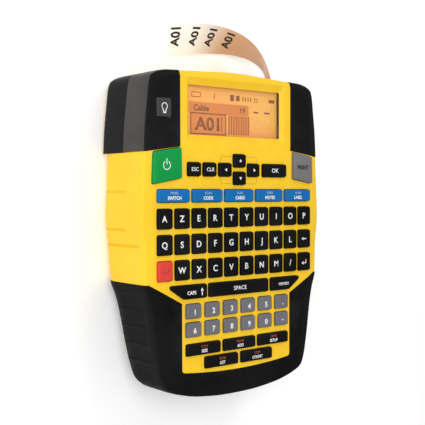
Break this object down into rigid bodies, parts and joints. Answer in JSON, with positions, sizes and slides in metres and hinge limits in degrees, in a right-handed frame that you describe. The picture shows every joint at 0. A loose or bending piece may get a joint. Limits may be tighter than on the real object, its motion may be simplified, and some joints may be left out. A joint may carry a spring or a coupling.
{
  "type": "label maker",
  "caption": "Handheld industrial label maker with a full letter keyboard, amber display, rubber bumper and a thermal print engine behind two back doors.",
  "frame": {"origin": "on the flat back face, midway across, 10 mm above the fold where the back starts to slope", "axes": "+Z out of the keyboard side, +Y to the end where the label comes out, +X to the right of the keyboard"},
  "size_m": [0.1258, 0.2065, 0.0459],
  "materials": {
    "yellow_shell": "fine satin texture",
    "black_rubber": "matt moulded rubber",
    "black_plastic": "satin",
    "dark_grey_plastic": "satin",
    "key_black": "matt",
    "key_grey": "matt",
    "key_blue": "matt",
    "key_green": "matt",
    "key_print_grey": "matt",
    "clear_window": "clear window over an amber display",
    "lcd_glass": "amber backlit display",
    "circuit_board": "solder mask",
    "battery_wrap": "shrink wrap",
    "cassette_grey": "satin",
    "label_white": "semi-gloss label film",
    "print_head_ceramic": "ceramic and metal",
    "roller_rubber": "ground rubber",
    "motor_steel": "drawn steel can",
    "knife_steel": "ground",
    "gear_brass": "cut brass",
    "gear_white": "moulded acetal"
  },
  "bodies": {
    "root": {"battery_pack": "battery_wrap", "dc_socket": "black_plastic", "display_lens": "clear_window", "drive_motor": "motor_steel", "front_shell": "yellow_shell", "label_cassette": "cassette_grey", "label_tape": "label_white", "lcd_module": "lcd_glass", "lower_bumper": "black_rubber", "main_board": "circuit_board", "print_head": "print_head_ceramic", "rear_shell": "yellow_shell", "shoulder_left": "black_plastic", "shoulder_right": "black_plastic", "side_grip_left": "dark_grey_plastic"},
    "caps_key": {"caps_key": "key_black"},
    "clear_key": {"clear_key": "key_black"},
    "digit_key_01": {"digit_key_01": "key_grey"},
    "digit_key_02": {"digit_key_02": "key_grey"},
    "digit_key_03": {"digit_key_03": "key_grey"},
    "digit_key_04": {"digit_key_04": "key_grey"},
    "digit_key_05": {"digit_key_05": "key_grey"},
    "digit_key_06": {"digit_key_06": "key_grey"},
    "digit_key_07": {"digit_key_07": "key_grey"},
    "digit_key_08": {"digit_key_08": "key_grey"},
    "digit_key_09": {"digit_key_09": "key_grey"},
    "digit_key_10": {"digit_key_10": "key_grey"},
    "digit_key_11": {"digit_key_11": "key_grey"},
    "digit_key_12": {"digit_key_12": "key_grey"},
    "down_key": {"down_key": "key_black"},
    "escape_key": {"escape_key": "key_black"},
    "favourites_key": {"favourites_key": "key_black"},
    "function_key_1": {"function_key_1": "key_black"},
    "function_key_2": {"function_key_2": "key_black"},
    "function_key_3": {"function_key_3": "key_black"},
    "function_key_4": {"function_key_4": "key_black"},
    "function_key_5": {"function_key_5": "key_black"},
    "hot_key_1": {"hot_key_1": "key_blue"},
    "hot_key_2": {"hot_key_2": "key_blue"},
    "hot_key_3": {"hot_key_3": "key_blue"},
    "hot_key_4": {"hot_key_4": "key_blue"},
    "hot_key_5": {"hot_key_5": "key_blue"},
    "left_key": {"left_key": "key_black"},
    "letter_row_1": {"letter_row_1": "key_black"},
    "letter_row_2": {"letter_row_2": "key_black"},
    "letter_row_3": {"letter_row_3": "key_black"},
    "light_button": {"light_button": "dark_grey_plastic"},
    "ok_key": {"ok_key": "key_black"},
    "power_button": {"power_button": "key_green"},
    "print_button": {"print_button": "key_print_grey"},
    "right_key": {"right_key": "key_black"},
    "space_key": {"space_key": "key_black"},
    "up_key": {"up_key": "key_black"},
    "cutter": {"cutter_button": "dark_grey_plastic", "cutter_blade": "knife_steel"},
    "cassette_door": {"cassette_door": "yellow_shell"},
    "battery_door": {"battery_door": "black_plastic"},
    "platen": {"platen_roller": "roller_rubber", "roller_gear": "gear_white"},
    "motor_pinion": {"motor_gear": "gear_brass"}
  },
  "joints": [
    {"name": "cassette_door_hinge", "type": "hinge", "parent": "root", "child": "cassette_door", "pos_m": [0, 0.0712, 0], "axis": [1, 0, 0], "range_deg": [0, 100]},
    {"name": "battery_door_hinge", "type": "hinge", "parent": "root", "child": "battery_door", "pos_m": [0, -0.06677, 0.00697], "axis": [-1, 0, 0], "range_deg": [0, 90]},
    {"name": "cutter_press", "type": "slide", "parent": "root", "child": "cutter", "axis": [-1, 0, 0], "range_m": [0, 0.0022], "stiffness_N_per_m": 900, "springref_m": -0.001},
    {"name": "platen_spin", "type": "hinge", "parent": "root", "child": "platen", "pos_m": [0.0395, 0.069, 0.009], "axis": [0, 0, 1], "continuous": true},
    {"name": "motor_pinion_spin", "type": "hinge", "parent": "root", "child": "motor_pinion", "pos_m": [0.04721, 0.05981, 0.009], "axis": [0, 0, 1], "continuous": true},
    {"name": "caps_key_press", "type": "slide", "parent": "root", "child": "caps_key", "axis": [0, 0, -1], "range_m": [0, 0.001], "stiffness_N_per_m": 400, "springref_m": -0.0005},
    {"name": "clear_key_press", "type": "slide", "parent": "root", "child": "clear_key", "axis": [0, 0, -1], "range_m": [0, 0.001], "stiffness_N_per_m": 400, "springref_m": -0.0005},
    {"name": "digit_key_01_press", "type": "slide", "parent": "root", "child": "digit_key_01", "axis": [0, 0, -1], "range_m": [0, 0.001], "stiffness_N_per_m": 400, "springref_m": -0.0005},
    {"name": "digit_key_02_press", "type": "slide", "parent": "root", "child": "digit_key_02", "axis": [0, 0, -1], "range_m": [0, 0.001], "stiffness_N_per_m": 400, "springref_m": -0.0005},
    {"name": "digit_key_03_press", "type": "slide", "parent": "root", "child": "digit_key_03", "axis": [0, 0, -1], "range_m": [0, 0.001], "stiffness_N_per_m": 400, "springref_m": -0.0005},
    {"name": "digit_key_04_press", "type": "slide", "parent": "root", "child": "digit_key_04", "axis": [0, 0, -1], "range_m": [0, 0.001], "stiffness_N_per_m": 400, "springref_m": -0.0005},
    {"name": "digit_key_05_press", "type": "slide", "parent": "root", "child": "digit_key_05", "axis": [0, 0, -1], "range_m": [0, 0.001], "stiffness_N_per_m": 400, "springref_m": -0.0005},
    {"name": "digit_key_06_press", "type": "slide", "parent": "root", "child": "digit_key_06", "axis": [0, 0, -1], "range_m": [0, 0.001], "stiffness_N_per_m": 400, "springref_m": -0.0005},
    {"name": "digit_key_07_press", "type": "slide", "parent": "root", "child": "digit_key_07", "axis": [0, 0, -1], "range_m": [0, 0.001], "stiffness_N_per_m": 400, "springref_m": -0.0005},
    {"name": "digit_key_08_press", "type": "slide", "parent": "root", "child": "digit_key_08", "axis": [0, 0, -1], "range_m": [0, 0.001], "stiffness_N_per_m": 400, "springref_m": -0.0005},
    {"name": "digit_key_09_press", "type": "slide", "parent": "root", "child": "digit_key_09", "axis": [0, 0, -1], "range_m": [0, 0.001], "stiffness_N_per_m": 400, "springref_m": -0.0005},
    {"name": "digit_key_10_press", "type": "slide", "parent": "root", "child": "digit_key_10", "axis": [0, 0, -1], "range_m": [0, 0.001], "stiffness_N_per_m": 400, "springref_m": -0.0005},
    {"name": "digit_key_11_press", "type": "slide", "parent": "root", "child": "digit_key_11", "axis": [0, 0, -1], "range_m": [0, 0.001], "stiffness_N_per_m": 400, "springref_m": -0.0005},
    {"name": "digit_key_12_press", "type": "slide", "parent": "root", "child": "digit_key_12", "axis": [0, 0, -1], "range_m": [0, 0.001], "stiffness_N_per_m": 400, "springref_m": -0.0005},
    {"name": "down_key_press", "type": "slide", "parent": "root", "child": "down_key", "axis": [0, 0, -1], "range_m": [0, 0.001], "stiffness_N_per_m": 400, "springref_m": -0.0005},
    {"name": "escape_key_press", "type": "slide", "parent": "root", "child": "escape_key", "axis": [0, 0, -1], "range_m": [0, 0.001], "stiffness_N_per_m": 400, "springref_m": -0.0005},
    {"name": "favourites_key_press", "type": "slide", "parent": "root", "child": "favourites_key", "axis": [0, 0, -1], "range_m": [0, 0.001], "stiffness_N_per_m": 400, "springref_m": -0.0005},
    {"name": "function_key_1_press", "type": "slide", "parent": "root", "child": "function_key_1", "axis": [0, 0, -1], "range_m": [0, 0.001], "stiffness_N_per_m": 400, "springref_m": -0.0005},
    {"name": "function_key_2_press", "type": "slide", "parent": "root", "child": "function_key_2", "axis": [0, 0, -1], "range_m": [0, 0.001], "stiffness_N_per_m": 400, "springref_m": -0.0005},
    {"name": "function_key_3_press", "type": "slide", "parent": "root", "child": "function_key_3", "axis": [0, 0, -1], "range_m": [0, 0.001], "stiffness_N_per_m": 400, "springref_m": -0.0005},
    {"name": "function_key_4_press", "type": "slide", "parent": "root", "child": "function_key_4", "axis": [0, 0, -1], "range_m": [0, 0.001], "stiffness_N_per_m": 400, "springref_m": -0.0005},
    {"name": "function_key_5_press", "type": "slide", "parent": "root", "child": "function_key_5", "axis": [0, 0, -1], "range_m": [0, 0.001], "stiffness_N_per_m": 400, "springref_m": -0.0005},
    {"name": "hot_key_1_press", "type": "slide", "parent": "root", "child": "hot_key_1", "axis": [0, 0, -1], "range_m": [0, 0.001], "stiffness_N_per_m": 400, "springref_m": -0.0005},
    {"name": "hot_key_2_press", "type": "slide", "parent": "root", "child": "hot_key_2", "axis": [0, 0, -1], "range_m": [0, 0.001], "stiffness_N_per_m": 400, "springref_m": -0.0005},
    {"name": "hot_key_3_press", "type": "slide", "parent": "root", "child": "hot_key_3", "axis": [0, 0, -1], "range_m": [0, 0.001], "stiffness_N_per_m": 400, "springref_m": -0.0005},
    {"name": "hot_key_4_press", "type": "slide", "parent": "root", "child": "hot_key_4", "axis": [0, 0, -1], "range_m": [0, 0.001], "stiffness_N_per_m": 400, "springref_m": -0.0005},
    {"name": "hot_key_5_press", "type": "slide", "parent": "root", "child": "hot_key_5", "axis": [0, 0, -1], "range_m": [0, 0.001], "stiffness_N_per_m": 400, "springref_m": -0.0005},
    {"name": "left_key_press", "type": "slide", "parent": "root", "child": "left_key", "axis": [0, 0, -1], "range_m": [0, 0.001], "stiffness_N_per_m": 400, "springref_m": -0.0005},
    {"name": "letter_row_1_press", "type": "slide", "parent": "root", "child": "letter_row_1", "axis": [0, 0, -1], "range_m": [0, 0.001], "stiffness_N_per_m": 400, "springref_m": -0.0005},
    {"name": "letter_row_2_press", "type": "slide", "parent": "root", "child": "letter_row_2", "axis": [0, 0, -1], "range_m": [0, 0.001], "stiffness_N_per_m": 400, "springref_m": -0.0005},
    {"name": "letter_row_3_press", "type": "slide", "parent": "root", "child": "letter_row_3", "axis": [0, 0, -1], "range_m": [0, 0.001], "stiffness_N_per_m": 400, "springref_m": -0.0005},
    {"name": "light_button_press", "type": "slide", "parent": "root", "child": "light_button", "axis": [0, 0, -1], "range_m": [0, 0.001], "stiffness_N_per_m": 400, "springref_m": -0.0005},
    {"name": "ok_key_press", "type": "slide", "parent": "root", "child": "ok_key", "axis": [0, 0, -1], "range_m": [0, 0.001], "stiffness_N_per_m": 400, "springref_m": -0.0005},
    {"name": "power_button_press", "type": "slide", "parent": "root", "child": "power_button", "axis": [0, 0, -1], "range_m": [0, 0.001], "stiffness_N_per_m": 400, "springref_m": -0.0005},
    {"name": "print_button_press", "type": "slide", "parent": "root", "child": "print_button", "axis": [0, 0, -1], "range_m": [0, 0.001], "stiffness_N_per_m": 400, "springref_m": -0.0005},
    {"name": "right_key_press", "type": "slide", "parent": "root", "child": "right_key", "axis": [0, 0, -1], "range_m": [0, 0.001], "stiffness_N_per_m": 400, "springref_m": -0.0005},
    {"name": "space_key_press", "type": "slide", "parent": "root", "child": "space_key", "axis": [0, 0, -1], "range_m": [0, 0.001], "stiffness_N_per_m": 400, "springref_m": -0.0005},
    {"name": "up_key_press", "type": "slide", "parent": "root", "child": "up_key", "axis": [0, 0, -1], "range_m": [0, 0.001], "stiffness_N_per_m": 400, "springref_m": -0.0005}
  ],
  "couplings": [
    {"joint": "motor_pinion_spin", "follows": "platen_spin", "ratio": -2}
  ]
}
